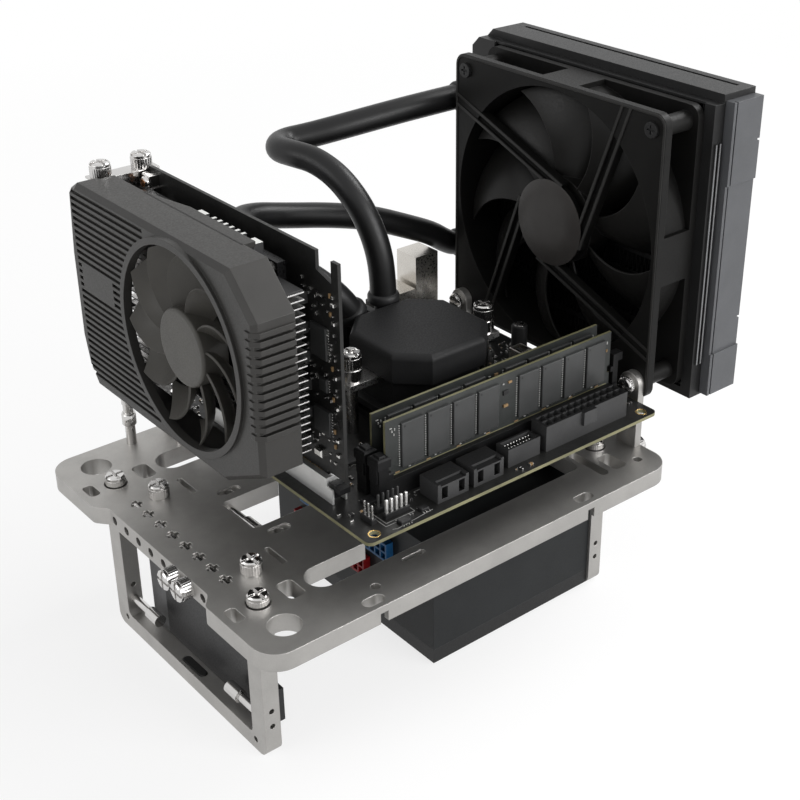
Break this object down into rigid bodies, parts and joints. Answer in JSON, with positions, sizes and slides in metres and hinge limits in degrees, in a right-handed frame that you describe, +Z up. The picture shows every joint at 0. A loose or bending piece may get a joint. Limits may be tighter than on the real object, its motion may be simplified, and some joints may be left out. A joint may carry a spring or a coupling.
{
  "type": "open air test bench",
  "caption": "Open computer test bench: a machined plate on frame legs carrying a small board, graphics card, liquid cooler with radiator and fan, memory and power supply.",
  "frame": {"origin": "on the floor under the middle of the bench's bounding box, hoses left out", "axes": "+X from the graphics card to the radiator, +Y to the rear, +Z up"},
  "size_m": [0.2834, 0.1959, 0.248],
  "materials": {
    "plate_metal": "bead blasted",
    "bright_metal": "polished",
    "fin_metal": "plain",
    "drive_case": "matte",
    "circuit_board": "satin",
    "black_metal": "matte",
    "grey_cover": "satin",
    "black_plastic": "matte",
    "shroud_plastic": "satin",
    "slot_armour": "brushed",
    "processor_metal": "plain",
    "socket_plastic": "matte",
    "hose_rubber": "matte"
  },
  "bodies": {
    "bench": {"base_plate": "plate_metal", "left_leg": "plate_metal", "right_leg": "plate_metal", "front_radiator_bracket": "plate_metal", "rear_radiator_bracket": "plate_metal", "leg_thumbscrews": "bright_metal", "drive_thumbscrews": "bright_metal", "edge_thumbscrews": "bright_metal", "stored_pins": "bright_metal", "card_posts": "bright_metal", "card_thumbscrews": "bright_metal", "bracket_thumbscrews": "bright_metal", "board_standoffs": "bright_metal", "board_screws": "bright_metal", "card_bracket": "bright_metal", "io_ports": "bright_metal", "pump_posts": "bright_metal", "card_heatsink": "fin_metal", "card_parts": "fin_metal", "supply_guard": "fin_metal", "pump_bracket": "fin_metal", "storage_drive": "drive_case", "motherboard": "circuit_board", "near_memory_module": "circuit_board", "far_memory_module": "circuit_board", "card_board": "circuit_board", "regulator_heatsink": "black_metal", "radiator_core": "black_metal", "radiator_frame": "black_metal", "supply_tray": "black_metal", "supply_cover": "black_metal", "fan_screws": "black_metal", "radiator_cover": "grey_cover", "memory_slots": "black_plastic", "power_connector": "black_plastic", "drive_connectors": "black_plastic", "usb_header": "black_plastic", "pin_headers": "black_plastic", "processor_socket": "black_plastic", "pump_body": "black_plastic", "pump_cap": "black_plastic", "hose_fittings": "black_plastic", "fan_frame": "black_plastic", "card_fan_base": "black_plastic", "supply_fan_frame": "black_plastic", "supply_inlet": "black_plastic", "supply_switch_frame": "black_plastic", "card_shroud": "shroud_plastic", "card_slot": "slot_armour", "processor": "processor_metal", "supply_sockets": "socket_plastic", "upper_hose": "hose_rubber", "lower_hose": "hose_rubber"},
    "radiator_fan": {"radiator_fan_rotor": "black_plastic"},
    "card_fan": {"card_fan_rotor": "black_plastic"},
    "supply_fan": {"supply_fan_rotor": "black_plastic"},
    "near_latch": {"near_memory_latch": "black_plastic"},
    "far_latch": {"far_memory_latch": "black_plastic"},
    "slot_latch": {"card_slot_latch": "black_plastic"},
    "power_switch": {"supply_switch": "black_plastic"}
  },
  "joints": [
    {"name": "radiator_fan_spin", "type": "hinge", "parent": "bench", "child": "radiator_fan", "pos_m": [0.09915, -0.0048, 0.173], "axis": [1, 0, 0], "continuous": true},
    {"name": "card_fan_spin", "type": "hinge", "parent": "bench", "child": "card_fan", "pos_m": [-0.10585, -0.0018, 0.169], "axis": [-1, 0, 0], "continuous": true},
    {"name": "supply_fan_spin", "type": "hinge", "parent": "bench", "child": "supply_fan", "pos_m": [0.01515, 0, 0.057], "axis": [0, 0, 1], "continuous": true},
    {"name": "near_latch_swing", "type": "hinge", "parent": "bench", "child": "near_latch", "pos_m": [0.07605, -0.0623, 0.1096], "axis": [0, 1, 0], "range_deg": [0, 18]},
    {"name": "far_latch_swing", "type": "hinge", "parent": "bench", "child": "far_latch", "pos_m": [0.07605, -0.0531, 0.1096], "axis": [0, 1, 0], "range_deg": [0, 18]},
    {"name": "slot_latch_swing", "type": "hinge", "parent": "bench", "child": "slot_latch", "pos_m": [-0.07605, -0.0515, 0.108], "axis": [1, 0, 0], "range_deg": [0, 22]},
    {"name": "power_switch_rock", "type": "hinge", "parent": "bench", "child": "power_switch", "pos_m": [0.06415, 0.0375, 0.0185], "axis": [0, 0, 1], "range_deg": [-12, 0]}
  ]
}
